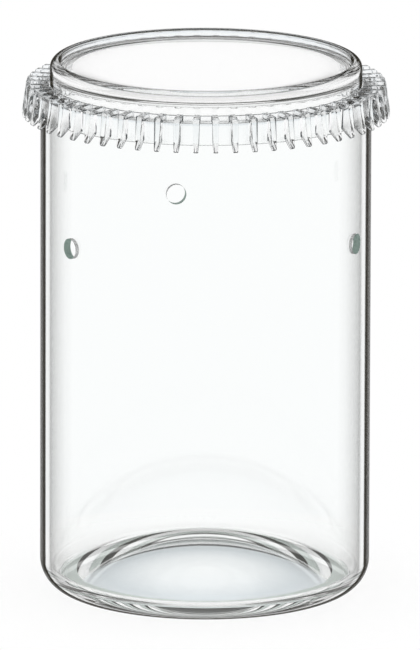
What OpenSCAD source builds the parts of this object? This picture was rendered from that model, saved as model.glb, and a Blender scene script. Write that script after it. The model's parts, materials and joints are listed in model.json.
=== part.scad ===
// Clear glass plant pot for an aquarium: a straight glass cup with three drilled holes,
// a clear toothed comb ring that caps its mouth, and a clear dished lid that stands on the ring.

/* [Glass pot] */
// Outer diameter of the glass
pot_d = 100; // [84:1:130]
// Height of the glass from the table to its polished edge
pot_h = 155; // [125:1:220]
// Thickness of the glass wall
wall = 2.4; // [2:0.1:3.5]
// Radius of the outer bottom corner
corner_r = 9.6; // [8:0.1:12]
// Radius of the inner bottom corner
inner_corner_r = 4; // [3:0.1:6]
// Height of the inside at that corner
floor_low = 5.4; // [4:0.1:7]
// Height of the hollow pushed up under the base
punt_h = 12.6; // [9:0.1:14]
// Thickness of the base at its middle
base_t = 3.2; // [2.5:0.1:5]
// Width of the ground ring that the pot stands on
foot_w = 4; // [2:0.1:5]
// Rounding of the polished mouth edge
edge_r = 0.8; // [0.3:0.1:0.9]

/* [Drilled holes] */
// Diameter of the drilled holes
hole_d = 6.2; // [4:0.1:9]
// Height of the hole centres above the table
hole_z = 111.6; // [60:0.1:115]
// Direction of the left hole, in degrees from the front towards the right
hole_left = -55; // [-80:0.5:-40]
// Direction of the right hole
hole_right = 65.5; // [40:0.5:90]
// Direction of the back hole
hole_back = 191; // [170:0.5:200]

/* [Comb ring] */
// Height of the raised seat for the lid above the mouth edge
flange_t = 1.6; // [1.3:0.1:2.5]
// Thickness of the flange outside that seat
flange_edge_t = 0.6; // [0.4:0.1:1.2]
// How far the flange reaches in past the wall of the glass
flange_in = 1.5; // [1:0.1:3]
// Gap between the skirt and the glass
skirt_gap = 0.3; // [0.2:0.05:0.6]
// Thickness of the skirt
skirt_t = 1.3; // [0.8:0.1:2]
// How far the skirt hangs below the mouth edge
skirt_h = 6.4; // [4:0.1:10]
// Number of teeth
teeth = 58; // [36:1:72]
// Width of a tooth at its tip
tooth_w = 1.4; // [1:0.1:1.8]
// Draft of a tooth's two sides, in degrees
tooth_draft = 1.7; // [0:0.1:2.5]
// How far the top of a tooth stands out from the skirt
tooth_out = 2.7; // [1.5:0.1:4]
// How far a tooth rises above the seat of the lid
tooth_rise = 0.6; // [0.3:0.1:1.5]
// How far a tooth hangs below the skirt
tooth_drop = 1.6; // [0.8:0.1:4]
// Outward lean of a tooth's outer edge, in degrees
flare = 8; // [0:0.5:12]
// Rounding of a tooth's upper corner
shoulder_r = 0.6; // [0.3:0.1:1]
// Rounding of a tooth's tip
tip_r = 0.7; // [0.5:0.05:0.8]
// Height above the skirt's lower edge at which a tooth's hook starts
hook_rise = 0.9; // [0.5:0.1:2]
// Gap between the lid and the inner ends of the teeth
tooth_gap = 0.45; // [0.3:0.05:1]

/* [Lid] */
// How far the lid's upright wall stands inside the bore of the glass
lid_inset = 0.45; // [0.2:0.05:1]
// Height of the lid's crest above the flange
lid_h = 7.3; // [6.5:0.1:10]
// Radius of the rim's outer rounding
rim_r = 2.45; // [1.5:0.05:2.6]
// Radius of the rim's inner rounding
lip_r = 0.3; // [0.2:0.05:0.6]
// Depth of the dish below the crest
dish_h = 2.3; // [1.5:0.1:3]
// Radius of the corner between the dish and the rim
dish_corner_r = 0.4; // [0.2:0.1:0.8]
// Thickness of the disc that closes the dish
disc_t = 1.4; // [0.8:0.1:1.8]
// Radius of the corner between the wall and the underside of the disc
disc_corner_r = 2.2; // [0.4:0.1:2.4]
// Thickness of the plug that goes into the ring
plug_t = 1.6; // [1.2:0.1:2.5]
// Depth of the plug below the top of the flange
plug_h = 3.1; // [2:0.1:4]
// Gap between the plug and the ring
plug_gap = 0.3; // [0.2:0.05:0.6]

/* [Hidden] */
$fn = 120;

clear_glass = [0.86, 0.93, 0.91, 0.35];
clear_plastic = [0.9, 0.94, 0.96, 0.45];
clear_lid = [0.93, 0.95, 0.95, 0.45];

// Glass
pot_r = pot_d / 2;
bore_r = pot_r - wall;
floor_z = punt_h + base_t;
dome_h = floor_z - floor_low;
dome_reach = inner_corner_r / 10;
dome_r = bore_r - inner_corner_r + dome_reach;
punt_r = pot_r - corner_r - foot_w;
punt_sphere_r = (punt_r * punt_r + punt_h * punt_h) / (2 * punt_h);
dome_sphere_r = (dome_r * dome_r + dome_h * dome_h) / (2 * dome_h);
hole_angles = [hole_left, hole_right, hole_back];

// Comb ring
flange_z = pot_h + flange_t;
flange_edge_z = pot_h + flange_edge_t;
ring_bore_r = bore_r - flange_in;
skirt_bore_r = pot_r + skirt_gap;
skirt_r = skirt_bore_r + skirt_t;
skirt_z = pot_h - skirt_h;
lid_r = bore_r - lid_inset;

// Teeth
tooth_pitch = 360 / teeth;
tooth_start_r = lid_r + tooth_gap;
tooth_top_z = flange_z + tooth_rise;
tooth_low_z = skirt_z - tooth_drop;
tooth_top_w = tooth_w + 2 * (tooth_top_z - tooth_low_z) * tan(tooth_draft);
shoulder = inside_face(tooth_top_z - shoulder_r, shoulder_r);
tip = inside_face(tooth_low_z + tip_r, tip_r);
hook = [skirt_r, skirt_z + hook_rise];
hook_to_tip = tip - hook;
hook_angle = atan2(hook_to_tip[1], hook_to_tip[0]) - asin(tip_r / norm(hook_to_tip));
hook_length = sqrt(hook_to_tip * hook_to_tip - tip_r * tip_r);

// Lid
crest_z = flange_z + lid_h;
crest_r = lid_r - rim_r;
dish_r = crest_r - lip_r;
disc_z = crest_z - dish_h;
disc_low_z = disc_z - disc_t;
plug_r = ring_bore_r - plug_gap;
plug_z = flange_z - plug_h;
plug_bore_r = plug_r - plug_t;

// Centre of a circle of this radius, at height z, that touches a tooth's leaning outer face
function inside_face(z, radius) =
    [skirt_r + tooth_out + (tooth_top_z - z) * tan(flare) - radius / cos(flare), z];

// Half of the cup's section: a tube wall, a rounded corner and a block for the base
module cup_section(radius, low, corner, high) {
    translate([0, low + corner]) square([radius, high - low - corner]);
    translate([0, low]) square([radius - corner, corner]);
    translate([radius - corner, low + corner]) circle(corner);
}

module mouth_edge_section() {
    low = pot_h - edge_r;
    translate([bore_r + edge_r, low]) square([wall - 2 * edge_r, edge_r]);
    translate([bore_r + edge_r, low]) circle(edge_r);
    translate([pot_r - edge_r, low]) circle(edge_r);
}

// The inside, whose floor rises from the corner in a dome over the hollow under the base
module cavity_section() {
    difference() {
        cup_section(bore_r, floor_low, inner_corner_r, pot_h);
        translate([0, floor_z - dome_sphere_r]) circle(dome_sphere_r);
    }
}

module glass_section() {
    difference() {
        cup_section(pot_r, 0, corner_r, pot_h - edge_r);
        cavity_section();
        translate([0, punt_h - punt_sphere_r]) circle(punt_sphere_r);
    }
    mouth_edge_section();
}

module drilled_hole(direction) {
    rotate([0, 0, direction])
        translate([0, 0, hole_z])
            rotate([90, 0, 0])
                translate([0, 0, pot_r - 2 * wall])
                    cylinder(d = hole_d, h = 3 * wall);
}

module glass_pot() {
    color(clear_glass)
        difference() {
            rotate_extrude() glass_section();
            for (direction = hole_angles) drilled_hole(direction);
        }
}

// A flange that lies on the mouth edge, with a raised seat for the lid and a skirt outside the glass
module ring_section() {
    polygon([
        [ring_bore_r, pot_h],
        [ring_bore_r, flange_z],
        [bore_r, flange_z],
        [bore_r, flange_edge_z],
        [skirt_r, flange_edge_z],
        [skirt_r, skirt_z],
        [skirt_bore_r, skirt_z],
        [skirt_bore_r, pot_h]
    ]);
}

// A tooth runs out along the flange and down past the skirt, where it ends in a rounded hook
module tooth_section() {
    face = [cos(flare), sin(flare)];
    root_r = skirt_r - skirt_t / 2;
    root_z = pot_h + flange_edge_t / 2;
    polygon([
        [tooth_start_r, root_z],
        [tooth_start_r, tooth_top_z],
        [shoulder[0], tooth_top_z],
        shoulder + shoulder_r * face,
        tip + tip_r * face,
        hook + hook_length * [cos(hook_angle), sin(hook_angle)],
        hook,
        [root_r, hook[1]],
        [root_r, root_z]
    ]);
    translate(shoulder) circle(shoulder_r);
    translate(tip) circle(tip_r);
}

// The taper that the draft gives a tooth, seen from outside
module draft_section() {
    polygon([
        [-tooth_w / 2, tooth_low_z],
        [tooth_w / 2, tooth_low_z],
        [tooth_top_w / 2, tooth_top_z],
        [-tooth_top_w / 2, tooth_top_z]
    ]);
}

module tooth() {
    intersection() {
        rotate([90, 0, 0])
            linear_extrude(height = tooth_top_w, center = true) tooth_section();
        rotate([90, 0, 90])
            linear_extrude(height = tip[0] + 2 * tip_r) draft_section();
    }
}

module comb_ring() {
    color(clear_plastic) {
        rotate_extrude() ring_section();
        for (i = [0 : teeth - 1])
            rotate([0, 0, (i + 0.5) * tooth_pitch - 90]) tooth();
    }
}

// What fills a square inside corner to this radius
module corner_fill(radius) {
    difference() {
        square(radius);
        translate([radius, radius]) circle(radius);
    }
}

module lid_section() {
    // Upright wall that stands on the flange
    translate([plug_bore_r, flange_z]) square([lid_r - plug_bore_r, crest_z - rim_r - flange_z]);
    // Plug inside the ring
    translate([plug_bore_r, plug_z]) square([plug_t, flange_z - plug_z]);
    // Rounded rim
    translate([dish_r, disc_z]) square([crest_r - dish_r, dish_h - lip_r]);
    translate([crest_r, crest_z - lip_r]) circle(lip_r);
    intersection() {
        translate([crest_r, crest_z - rim_r]) circle(rim_r);
        translate([crest_r, crest_z - rim_r]) square(rim_r);
    }
    // Disc that closes the dish
    translate([0, disc_low_z]) square([lid_r - rim_r, disc_t]);
    translate([dish_r, disc_z]) rotate(90) corner_fill(dish_corner_r);
    translate([plug_bore_r, disc_low_z]) rotate(180) corner_fill(disc_corner_r);
}

module lid() {
    color(clear_lid)
        rotate_extrude() lid_section();
}

glass_pot();
comb_ring();
lid();
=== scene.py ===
import json
import math

import bmesh
import bpy
from mathutils import Matrix, Vector


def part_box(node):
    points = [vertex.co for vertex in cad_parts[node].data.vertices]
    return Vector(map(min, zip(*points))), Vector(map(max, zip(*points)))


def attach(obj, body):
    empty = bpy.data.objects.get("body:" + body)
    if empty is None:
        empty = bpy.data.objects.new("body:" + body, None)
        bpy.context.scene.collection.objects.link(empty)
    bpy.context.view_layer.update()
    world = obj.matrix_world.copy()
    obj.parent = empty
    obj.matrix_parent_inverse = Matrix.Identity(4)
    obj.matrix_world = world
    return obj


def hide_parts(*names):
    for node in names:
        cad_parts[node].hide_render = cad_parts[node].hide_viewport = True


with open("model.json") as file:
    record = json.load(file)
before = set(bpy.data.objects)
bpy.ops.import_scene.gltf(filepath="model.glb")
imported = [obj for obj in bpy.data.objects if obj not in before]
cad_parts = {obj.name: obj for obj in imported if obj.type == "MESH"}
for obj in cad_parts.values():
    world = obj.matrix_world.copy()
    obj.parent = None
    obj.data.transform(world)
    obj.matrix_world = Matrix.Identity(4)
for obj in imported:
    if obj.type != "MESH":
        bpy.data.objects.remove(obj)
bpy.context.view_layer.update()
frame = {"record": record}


# The glass pot is a straight cup of clear glass, closed by a base that is pushed up in a dome. Its
# mouth edge is polished and its foot is ground flat. Three holes are drilled through the wall, which
# leaves their own walls frosted.
class Section:
    """Half of a turned piece's cross-section, drawn edge by edge in the XZ plane."""

    def __init__(self, x, z):
        self.mesh = bmesh.new()
        self.start = self.mesh.verts.new((x, 0, z))
        self.tip = self.start

    def line(self, x, z, steps=1):
        """Draws a straight run to (x, z) in equal steps."""
        step = (Vector((x, 0, z)) - self.tip.co) / steps
        for _ in range(steps):
            self.tip = bmesh.ops.extrude_vert_indiv(self.mesh, verts=[self.tip])["verts"][0]
            bmesh.ops.translate(self.mesh, verts=[self.tip], vec=step)

    def arc(self, x, z, degrees, steps):
        """Swings the tip about (x, z); a positive angle goes from +X towards +Z."""
        swung = bmesh.ops.spin(
            self.mesh, geom=[self.tip], cent=(x, 0, z), axis=(0, -1, 0),
            angle=math.radians(degrees), steps=steps,
        )
        self.tip = swung["geom_last"][0]

    def close(self):
        """Joins the tip to the start."""
        self.mesh.edges.new((self.tip, self.start))

    def turn(self, segments):
        """Turns the section about the pot's axis into a closed solid."""
        bmesh.ops.spin(
            self.mesh, geom=self.mesh.verts[:] + self.mesh.edges[:], cent=(0, 0, 0), axis=(0, 0, 1),
            angle=2 * math.pi, steps=segments, use_merge=True,
        )
        bmesh.ops.remove_doubles(self.mesh, verts=self.mesh.verts, dist=1e-7)
        bmesh.ops.recalc_face_normals(self.mesh, faces=self.mesh.faces)
        return self.mesh


def stand(name, mesh, *materials):
    """Makes a mesh an object, with its place in its mesh."""
    data = bpy.data.meshes.new(name)
    mesh.to_mesh(data)
    mesh.free()
    piece = bpy.data.objects.new(name, data)
    bpy.context.scene.collection.objects.link(piece)
    for material in materials:
        data.materials.append(material)
    return piece


def combine(piece, tool, operation):
    """Cuts the tool's solid from the piece, or joins the two, and removes the tool."""
    change = piece.modifiers.new(operation, "BOOLEAN")
    change.operation = operation
    change.solver = "EXACT"
    change.material_mode = "TRANSFER"
    change.object = tool
    seen = piece.evaluated_get(bpy.context.evaluated_depsgraph_get())
    mesh = bpy.data.meshes.new_from_object(seen)
    piece.modifiers.clear()
    piece.data = mesh
    bpy.data.objects.remove(tool)


def smooth(piece, degrees):
    """Shades a piece smooth, apart from its edges that are sharper than this."""
    piece.data.shade_smooth()
    piece.data.set_sharp_from_angle(angle=math.radians(degrees))


class Field:
    """A socket of a node tree, which can be used in sums."""

    def __init__(self, tree, socket=None):
        self.tree = tree
        self.socket = socket

    def make(self, kind, settings=(), output=0, **values):
        """Adds a node with these settings and socket values, and returns one of its outputs."""
        node = self.tree.nodes.new(kind)
        for name, value in dict(settings).items():
            if name == "stops":
                for stop, (place, colour) in zip(ramp_stops(node, len(value)), value):
                    stop.position = place
                    stop.color = (*colour, 1)
            else:
                setattr(node, name, value)
        for name, value in values.items():
            place = node.inputs[int(name[1:]) if name[0] == "_" else name.replace("_", " ")]
            if isinstance(value, Field):
                self.tree.links.new(value.socket, place)
            else:
                place.default_value = value
        return Field(self.tree, node.outputs[output])

    def maths(self, operation, first, second):
        """Adds a Math node that works on two values."""
        return self.make("ShaderNodeMath", {"operation": operation}, _0=first, _1=second)

    def __add__(self, other):
        return self.maths("ADD", self, other)

    def __radd__(self, other):
        return self.maths("ADD", other, self)

    def __sub__(self, other):
        return self.maths("SUBTRACT", self, other)

    def __rsub__(self, other):
        return self.maths("SUBTRACT", other, self)

    def __mul__(self, other):
        return self.maths("MULTIPLY", self, other)

    def __rmul__(self, other):
        return self.maths("MULTIPLY", other, self)

    def __truediv__(self, other):
        return self.maths("DIVIDE", self, other)

    def __rtruediv__(self, other):
        return self.maths("DIVIDE", other, self)


def ramp_stops(node, count):
    """A colour ramp's stops, made as many as this."""
    stops = node.color_ramp.elements
    while len(stops) < count:
        stops.new(1)
    return stops


def finish(name):
    """A new material, with the tree that its nodes go into and its Principled shader."""
    material = bpy.data.materials.new(name)
    material.use_nodes = True
    return material, Field(material.node_tree), material.node_tree.nodes["Principled BSDF"]


def ripple(field, shader, grain, height):
    """Gives a surface a faint waviness of this grain along each axis and of this height."""
    place = field.make("ShaderNodeTexCoord", output="Object")
    place = field.make("ShaderNodeVectorMath", {"operation": "DIVIDE"}, _0=place, _1=grain)
    waves = field.make("ShaderNodeTexNoise", Vector=place, Scale=1.0, Detail=2.0)
    bump = field.make("ShaderNodeBump", Strength=1.0, Distance=height, Height=waves)
    field.tree.links.new(bump.socket, shader.inputs["Normal"])
    return waves


def clear_finish(name, tint, ior, grain, height):
    """A clear, polished material with a faint waviness."""
    material, field, shader = finish(name)
    shader.inputs["Base Color"].default_value = (*tint, 1)
    shader.inputs["Roughness"].default_value = 0
    shader.inputs["IOR"].default_value = ior
    shader.inputs["Transmission Weight"].default_value = 1
    ripple(field, shader, grain, height)
    return material


def blend(material, share, other):
    """Mixes another shader into a material, by the share of it at each place."""
    tree = material.node_tree
    first = Field(tree, tree.nodes["Principled BSDF"].outputs[0])
    mixed = first.make("ShaderNodeMixShader", _0=share, _1=first, _2=other)
    tree.links.new(mixed.socket, tree.nodes["Material Output"].inputs["Surface"])


def blend_behind(material, share, other):
    """Mixes another shader into a surface where it is seen from inside its own piece."""
    behind = Field(material.node_tree).make("ShaderNodeNewGeometry", output="Backfacing")
    blend(material, behind * share, other)


def matt(material, tone):
    """A matt shader of this tone, to mix into a material."""
    return Field(material.node_tree).make(
        "ShaderNodeBsdfPrincipled", Base_Color=(*tone, 1), Roughness=1.0, Specular_IOR_Level=0.0,
    )


def grey(value):
    """The colour with this value in all its channels."""
    return (value, value, value)


def paint_edge_shade(material, tone, stops):
    """Paints shade into a clear material where it turns away from the eye: a matt shader of this tone,
    mixed in by the facing ratio, is painted in place of the dark edges that thick clear walls show.
    """
    field = Field(material.node_tree)
    facing = field.make("ShaderNodeLayerWeight", output="Facing", Blend=0.5)
    shares = [(turn, grey(share)) for turn, share in stops]
    turned = field.make("ShaderNodeValToRGB", {"stops": shares}, Fac=facing)
    blend(material, turned, matt(material, tone))


def ground_finish(name, dark, pale, grain, height):
    """A ground or etched material: pale and rough, with a fine grain in its colour and surface."""
    material, field, shader = finish(name)
    shader.inputs["Roughness"].default_value = 0.6
    shader.inputs["Specular IOR Level"].default_value = 0
    speckle = ripple(field, shader, grain, height)
    colour = field.make("ShaderNodeValToRGB", {"stops": [(0.3, dark), (0.7, pale)]}, Fac=speckle)
    field.tree.links.new(colour.socket, shader.inputs["Base Color"])
    return material


pot_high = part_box("glass_pot")[1]
pot_radius = pot_high.x
pot_height = pot_high.z
wall = 0.0024
bore_radius = pot_radius - wall
corner_radius = 0.0096
inner_corner_radius = 0.004
inner_corner_height = 0.0054
base_thickness = 0.0032
push_up = 0.0126
foot_width = 0.004
edge_radius = 0.0008
on_face = 1e-4
level = 1e-5

hollow_radius = pot_radius - corner_radius - foot_width
hollow_sphere = (hollow_radius**2 + push_up**2) / (2 * push_up)
floor_height = push_up + base_thickness
dome_height = floor_height - inner_corner_height
dome_reach = inner_corner_radius / 10
dome_radius = bore_radius - inner_corner_radius + dome_reach
dome_sphere = (dome_radius**2 + dome_height**2) / (2 * dome_height)
dome_centre = floor_height - dome_sphere
trough = Vector((bore_radius - inner_corner_radius, 0, inner_corner_height + inner_corner_radius))

to_dome = Vector((0, 0, dome_centre)) - trough
reach = to_dome.length
meeting = (reach**2 + inner_corner_radius**2 - dome_sphere**2) / (2 * reach * inner_corner_radius)
trough_turn = math.atan2(to_dome.z, to_dome.x) + math.acos(meeting)

cup = Section(0, push_up)
cup.arc(0, push_up - hollow_sphere, -math.degrees(math.asin(hollow_radius / hollow_sphere)), steps=24)
cup.line(pot_radius - corner_radius, 0)
cup.arc(pot_radius - corner_radius, corner_radius, 90, steps=24)
cup.line(pot_radius, pot_height - edge_radius, steps=24)
cup.arc(pot_radius - edge_radius, pot_height - edge_radius, 90, steps=8)
cup.line(bore_radius + edge_radius, pot_height)
cup.arc(bore_radius + edge_radius, pot_height - edge_radius, 90, steps=8)
cup.line(bore_radius, trough.z, steps=24)
cup.arc(trough.x, trough.z, math.degrees(trough_turn), steps=16)
cup.arc(0, dome_centre, math.degrees(math.asin(cup.tip.co.x / dome_sphere)), steps=24)

glass_tint = (0.99, 0.996, 0.993)
glass_ior = 1.47
drawn_grain = (0.008, 0.008, 0.15)
drawn_height = 5e-6
ground_grain = (0.0004, 0.0004, 0.0004)
ground_height = 1e-5
# Dark tone of the painted edge shade on the glass and lid and of the lid seat's painted shade; the
# tent's dark openings take it too.
painted_shade_and_opening_tone = (0.03, 0.027, 0.02)

clear_glass = clear_finish("clear_glass", glass_tint, glass_ior, drawn_grain, drawn_height)
outer_glass_painted_edge = clear_finish("outer_glass_painted_edge", glass_tint, glass_ior, drawn_grain, drawn_height)
# Painted shade: the outer wall and outer bottom corner darken to a matt tone where they turn away from
# the eye.
paint_edge_shade(outer_glass_painted_edge, painted_shade_and_opening_tone, [
    (0.42, 0), (0.485, 0.07), (0.56, 0.22), (0.62, 0.36), (0.66, 0.5), (0.695, 0.08), (0.738, 0.06),
    (0.762, 0.95), (0.79, 0.99), (0.815, 0.94), (0.85, 0.85), (1, 0.6),
])
ground_foot = ground_finish(
    "ground_foot", (0.66, 0.72, 0.69), (0.78, 0.83, 0.8), ground_grain, ground_height,
)
drilled_glass = ground_finish(
    "drilled_glass", (0.23, 0.3, 0.27), (0.31, 0.38, 0.35), ground_grain, ground_height,
)
frost = Field(drilled_glass.node_tree).make(
    "ShaderNodeBsdfPrincipled", Base_Color=(1, 1, 1, 1), Roughness=0.6, IOR=glass_ior,
    Transmission_Weight=1.0,
)
blend_behind(drilled_glass, 0.9, frost)
pot_finishes = [clear_glass, outer_glass_painted_edge, ground_foot]


def outside(vert):
    """Tells whether a point of the cup lies on its outer wall or its outer bottom corner."""
    outward = math.hypot(vert.co.x, vert.co.y)
    if vert.co.z > corner_radius:
        return outward > pot_radius - on_face
    past_corner = outward - (pot_radius - corner_radius)
    from_centre = math.hypot(past_corner, vert.co.z - corner_radius)
    return past_corner > -on_face and from_centre > corner_radius - on_face


cup_mesh = cup.turn(256)
for face in cup_mesh.faces:
    if all(v.co.z < level for v in face.verts):
        face.material_index = pot_finishes.index(ground_foot)
    elif all(outside(v) for v in face.verts):
        face.material_index = pot_finishes.index(outer_glass_painted_edge)
pot = stand("glass_pot_clear", cup_mesh, *pot_finishes)
for mount in frame["record"]["mounts"]:
    if mount["kind"] == "bore":
        drill = bmesh.new()
        radius = mount["dims"]["r_mm"] / 1000
        across = Vector(mount["axis"]).to_track_quat("Z", "Y").to_matrix().to_4x4()
        bmesh.ops.create_cone(
            drill, cap_ends=True, segments=64, radius1=radius, radius2=radius, depth=3 * wall,
            matrix=Matrix.Translation(mount["pos_m"]) @ across,
        )
        combine(pot, stand("drill", drill, drilled_glass), "DIFFERENCE")
smooth(pot, 30)
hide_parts("glass_pot")
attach(pot, "pot")


# The comb ring is one clear moulding. Its flange lies on the mouth edge, a skirt outside the glass
# centres it, and upright teeth run out over the flange and down past the skirt, each ending in a hook.
flange_thickness = 0.0016
flange_edge_thickness = 0.0006
flange_in = 0.0015
skirt_gap = 0.0003
skirt_thickness = 0.0013
skirt_drop = 0.0064
air_film = 0.00003

flange_seat = pot_height + flange_thickness
flange_edge = pot_height + flange_edge_thickness
flange_bottom = pot_height + air_film
ring_bore = bore_radius - flange_in
skirt_inside = pot_radius + skirt_gap
skirt_outside = skirt_inside + skirt_thickness
skirt_bottom = pot_height - skirt_drop

band = Section(ring_bore, flange_seat)
band.line(ring_bore, flange_bottom, steps=2)
band.line(skirt_inside, flange_bottom, steps=4)
band.line(skirt_inside, skirt_bottom, steps=4)
band.line(skirt_outside, skirt_bottom)
band.line(skirt_outside, flange_edge, steps=4)
band.line(bore_radius, flange_edge, steps=3)
band.line(bore_radius, flange_seat)
band.close()

plastic_tint = (0.994, 0.996, 0.998)
plastic_ior = 1.45
moulded_grain = (0.005, 0.005, 0.005)
moulded_height = 3e-6
clear_plastic = clear_finish("clear_plastic", plastic_tint, plastic_ior, moulded_grain, moulded_height)
# Painted shade: the ring's dark outlines are a blue-grey matt tone mixed in where its surface turns
# away from the eye.
paint_edge_shade(clear_plastic, (0.08, 0.09, 0.095), [(0.6, 0), (0.8, 0.06), (0.88, 0.8), (1, 1)])
ring = stand("comb_ring_clear", band.turn(232), clear_plastic)

teeth = 58
lid_inset = 0.00045
tooth_gap = 0.00045
tooth_out = 0.0027
tooth_rise = 0.0006
tooth_drop = 0.0016
tooth_flare = math.radians(8)
tooth_draft = math.radians(1.7)
tooth_tip_width = 0.0014
tooth_edge = 0.00018
shoulder_radius = 0.0006
tip_radius = 0.0007
hook_rise = 0.0009
root_rise = 0.0004
root_sink = 0.00002

lid_radius = bore_radius - lid_inset
tooth_start = lid_radius + tooth_gap
tooth_reach = skirt_outside + tooth_out
tooth_top = flange_seat + tooth_rise
tooth_low = skirt_bottom - tooth_drop
root_radius = skirt_outside - skirt_thickness / 2
root_height = pot_height + root_rise
pitch = 2 * math.pi / teeth


def tooth_face(z):
    """Radius of a tooth's leaning outer face at this height."""
    return tooth_reach + (tooth_top - z) * math.tan(tooth_flare)


tip_height = tooth_low + tip_radius
touch_height = tip_height + tip_radius * math.sin(tooth_flare)
tip_centre = Vector((tooth_face(touch_height) - tip_radius * math.cos(tooth_flare), 0, tip_height))
hook_root = Vector((skirt_outside - root_sink, 0, skirt_bottom + hook_rise))
to_tip = tip_centre - hook_root
hook_slope = math.atan2(to_tip.z, to_tip.x) - math.asin(tip_radius / to_tip.length)
tip_turn = math.degrees(tooth_flare + math.pi / 2 - hook_slope)
shoulder_height = tooth_top - shoulder_radius
shoulder_centre = tooth_face(shoulder_height) - shoulder_radius / math.cos(tooth_flare)

tooth = Section(tooth_start, root_height)
tooth.line(tooth_start, tooth_top)
tooth.line(shoulder_centre, tooth_top)
tooth.arc(shoulder_centre, shoulder_height, -90 + math.degrees(tooth_flare), steps=6)
tooth.line(tooth_face(touch_height), touch_height)
tooth.arc(tip_centre.x, tip_centre.z, -tip_turn, steps=10)
tooth.line(hook_root.x, hook_root.z)
tooth.line(root_radius, hook_root.z)
tooth.line(root_radius, root_height)
tooth.close()
comb = tooth.mesh
bmesh.ops.contextual_create(comb, geom=comb.edges[:])
bmesh.ops.rotate(
    comb, verts=comb.verts, cent=(0, 0, tooth_low), matrix=Matrix.Rotation(tooth_draft, 3, "X"),
)
bmesh.ops.translate(comb, verts=comb.verts, vec=(0, -tooth_tip_width / 2, 0))
side = bmesh.ops.extrude_face_region(comb, geom=comb.faces[:])
far = [v for v in side["geom"] if isinstance(v, bmesh.types.BMVert)]
bmesh.ops.scale(comb, verts=far, vec=(1, -1, 1))
bmesh.ops.recalc_face_normals(comb, faces=comb.faces)
outline = [e for e in comb.edges if e.verts[0].co.y * e.verts[1].co.y > 0]
bmesh.ops.bevel(
    comb, geom=outline, offset=tooth_edge, offset_type="OFFSET", segments=2, profile=0.5,
    affect="EDGES", material=-1,
)
bmesh.ops.rotate(
    comb, verts=comb.verts, cent=(0, 0, 0), matrix=Matrix.Rotation(pitch / 2 - math.pi / 2, 3, "Z"),
)
bmesh.ops.spin(
    comb, geom=comb.verts[:] + comb.edges[:] + comb.faces[:], cent=(0, 0, 0), axis=(0, 0, 1),
    angle=2 * math.pi - pitch, steps=teeth - 1, use_duplicate=True,
)
combine(ring, stand("comb", comb, clear_plastic), "UNION")
smooth(ring, 35)
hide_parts("comb_ring")
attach(ring, "ring")


# The lid is a dished cover, moulded in clear plastic, that stands loose on the ring. A disc with a
# satin underside closes it below a thick rounded rim, and a short plug centres it in the ring.
lid_height = 0.0073
rim_radius = 0.00245
lip_radius = 0.0003
dish_depth = 0.0023
dish_fillet = 0.0004
disc_thickness = 0.0014
under_fillet = 0.0022
satin_radius = 0.0405
plug_gap = 0.0003
plug_thickness = 0.0016
plug_depth = 0.0031

crest = flange_seat + lid_height
crest_radius = lid_radius - rim_radius
dish_radius = crest_radius - lip_radius
flat_radius = dish_radius - dish_fillet
disc_top = crest - dish_depth
disc_bottom = disc_top - disc_thickness
lid_bottom = flange_seat + air_film
plug_radius = ring_bore - plug_gap
plug_bore = plug_radius - plug_thickness
plug_bottom = flange_seat - plug_depth

cover = Section(0, disc_top)
cover.line(flat_radius, disc_top, steps=4)
cover.arc(flat_radius, disc_top + dish_fillet, 90, steps=6)
cover.line(dish_radius, crest - lip_radius, steps=2)
cover.arc(crest_radius, crest - lip_radius, -90, steps=6)
cover.arc(crest_radius, crest - rim_radius, -90, steps=20)
cover.line(lid_radius, lid_bottom, steps=4)
cover.line(plug_radius, lid_bottom)
cover.line(plug_radius, plug_bottom, steps=2)
cover.line(plug_bore, plug_bottom)
cover.line(plug_bore, disc_bottom - under_fillet, steps=2)
cover.arc(plug_bore - under_fillet, disc_bottom - under_fillet, 90, steps=10)
cover.line(satin_radius, disc_bottom)
cover.line(0, disc_bottom, steps=4)

lid_tint = (0.997, 0.998, 0.998)
lid_ior = 1.5
lid_grain = (0.006, 0.006, 0.006)
satin_grain = (0.0006, 0.0006, 0.0006)

clear_lid = clear_finish("clear_lid", lid_tint, lid_ior, lid_grain, moulded_height)
# Painted shade: the lid's rim darkens to a matt tone where it turns away from the eye.
paint_edge_shade(clear_lid, painted_shade_and_opening_tone, [(0.772, 0), (0.785, 0.1), (0.82, 0.95), (1, 0.95)])
clear_disc = clear_finish("clear_disc", lid_tint, lid_ior, lid_grain, moulded_height)
satin_disc = ground_finish("satin_disc", grey(0.985), grey(0.995), satin_grain, ground_height)
# Painted shade: where the lid rests on the ring, its seat face is mixed 80% with a dark matt tone when
# seen from inside the lid, in place of the shade trapped at the seat.
lid_seat_painted_shade = clear_finish("lid_seat_painted_shade", lid_tint, lid_ior, lid_grain, moulded_height)
blend_behind(lid_seat_painted_shade, 0.8, matt(lid_seat_painted_shade, painted_shade_and_opening_tone))
lid_finishes = [clear_lid, satin_disc, clear_disc, lid_seat_painted_shade]

lid = stand("lid_clear", cover.turn(256), *lid_finishes)
for face in lid.data.polygons:
    centre = face.center
    outward = math.hypot(centre.x, centre.y)
    if outward < satin_radius and centre.z < disc_bottom + level:
        face.material_index = lid_finishes.index(satin_disc)
    elif outward < flat_radius and disc_bottom - level < centre.z < disc_top + level:
        face.material_index = lid_finishes.index(clear_disc)
    elif outward > plug_radius and abs(centre.z - lid_bottom) < level:
        face.material_index = lid_finishes.index(lid_seat_painted_shade)
smooth(lid, 35)
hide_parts("lid")
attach(lid, "cover")


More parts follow.
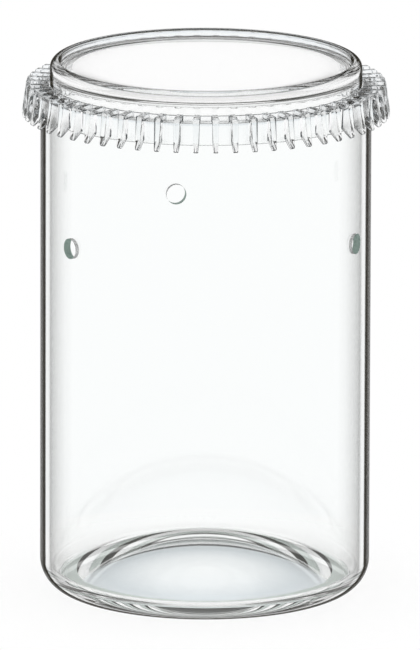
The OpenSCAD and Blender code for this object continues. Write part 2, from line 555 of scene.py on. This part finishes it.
# The studio is a white table in a white tent. Two dark openings run round the tent above the table, and
# the glass picks them up as thin dark lines, beside the dark edges painted into its materials. The
# table is self-lit white, with a blue-grey shadow painted into its glow under the pot; it keeps part of
# the pot's real shadow around it, and fades into the white of the tent.
table_radius = 0.1
table_sink = 0.00005
weave_scale = 800.0
weave_share = 0.05
table = bmesh.new()
bmesh.ops.create_circle(table, cap_ends=True, segments=96, radius=table_radius)
bmesh.ops.translate(table, verts=table.verts, vec=(0, 0, -table_sink))
white_table, field, shader = finish("white_table")
shader.inputs["Roughness"].default_value = 0.9
shader.inputs["Specular IOR Level"].default_value = 0
shader.inputs["Emission Strength"].default_value = 1
place = field.make("ShaderNodeTexCoord", output="Object")
outward = field.make("ShaderNodeVectorMath", {"operation": "LENGTH"}, output="Value", _0=place)
weave = field.make("ShaderNodeTexNoise", Vector=place, Scale=weave_scale)
outward = outward / table_radius + (weave - 0.5) * weave_share
cloth = field.make(
    "ShaderNodeValToRGB",
    {"stops": [(0.3, grey(0.05)), (0.4, grey(0.1)), (0.48, grey(0.3)), (0.9, grey(0))]},
    Fac=outward,
)
# Painted shadow: the glow turns blue-grey and darker under the pot, out to about 45 mm, and is white
# further out.
glow_and_painted_shadow = field.make(
    "ShaderNodeValToRGB",
    {"stops": [
        (0, (0.96, 0.975, 0.98)), (0.16, (0.9, 0.925, 0.94)), (0.3, (0.68, 0.73, 0.76)),
        (0.37, (0.66, 0.7, 0.73)), (0.42, grey(0.84)), (0.48, grey(0.7)), (0.9, grey(1)),
    ]},
    Fac=outward,
)
field.tree.links.new(cloth.socket, shader.inputs["Base Color"])
field.tree.links.new(glow_and_painted_shadow.socket, shader.inputs["Emission Color"])
table_top = stand("table_top", table, white_table)

world = bpy.data.worlds.new("tent")
world.use_nodes = True
bpy.context.scene.world = world
tent = Field(world.node_tree)
direction = tent.make("ShaderNodeTexCoord", output="Generated")
height = tent.make("ShaderNodeSeparateXYZ", output="Z", Vector=direction)
elevation = tent.make("ShaderNodeMath", {"operation": "ARCSINE"}, _0=height)
white = grey(1)
dark = painted_shade_and_opening_tone
bands = [
    (-54, (0.92, 0.95, 0.97)), (-36, (0.8, 0.84, 0.87)), (-18, (0.95, 0.97, 0.98)), (-11, white),
    (0.5, white), (1.5, dark), (10.5, dark), (11.5, white), (15.5, white), (16.5, dark), (60, dark),
    (64, white),
]
band_stops = [(0.5 + degrees / 180, colour) for degrees, colour in bands]
tent_cloth = tent.make("ShaderNodeValToRGB", {"stops": band_stops}, Fac=elevation / math.pi + 0.5)
seen = tent.make("ShaderNodeLightPath", output="Is Camera Ray")
scattered = tent.make("ShaderNodeLightPath", output="Diffuse Depth")
plain = tent.make("ShaderNodeMath", {"operation": "MAXIMUM", "use_clamp": True}, _0=seen, _1=scattered)
shown = tent.make(
    "ShaderNodeMix", {"data_type": "RGBA"}, output=2, _0=plain, _6=tent_cloth, _7=(*white, 1),
)
background = world.node_tree.nodes["Background"]
world.node_tree.links.new(shown.socket, background.inputs["Color"])

camera_data = bpy.data.cameras.new("camera")
camera = bpy.data.objects.new("camera", camera_data)
bpy.context.scene.collection.objects.link(camera)
camera_distance = 5.0
camera_elevation = math.radians(13.18)
camera_roll = math.radians(0.19)
photo_height = 650
photo_scale = 3301
camera_data.sensor_width = 36
camera_data.lens = photo_scale * camera_distance / photo_height * camera_data.sensor_width
aim = Vector((0.00142, 0, 0.0815))
back = Vector((0, -math.cos(camera_elevation), math.sin(camera_elevation)))
camera.location = aim + back * camera_distance
camera.rotation_mode = "QUATERNION"
roll = Matrix.Rotation(camera_roll, 3, "Z").to_quaternion()
camera.rotation_quaternion = (-back).to_track_quat("-Z", "Y") @ roll
camera_data.clip_end = 20
bpy.context.scene.camera = camera
bpy.context.scene.view_settings.view_transform = "Standard"
light_paths = bpy.context.scene.cycles
light_paths.blur_glossy = 0
light_paths.max_bounces = 32
light_paths.transmission_bounces = 32
light_paths.glossy_bounces = 16
light_paths.diffuse_bounces = 16
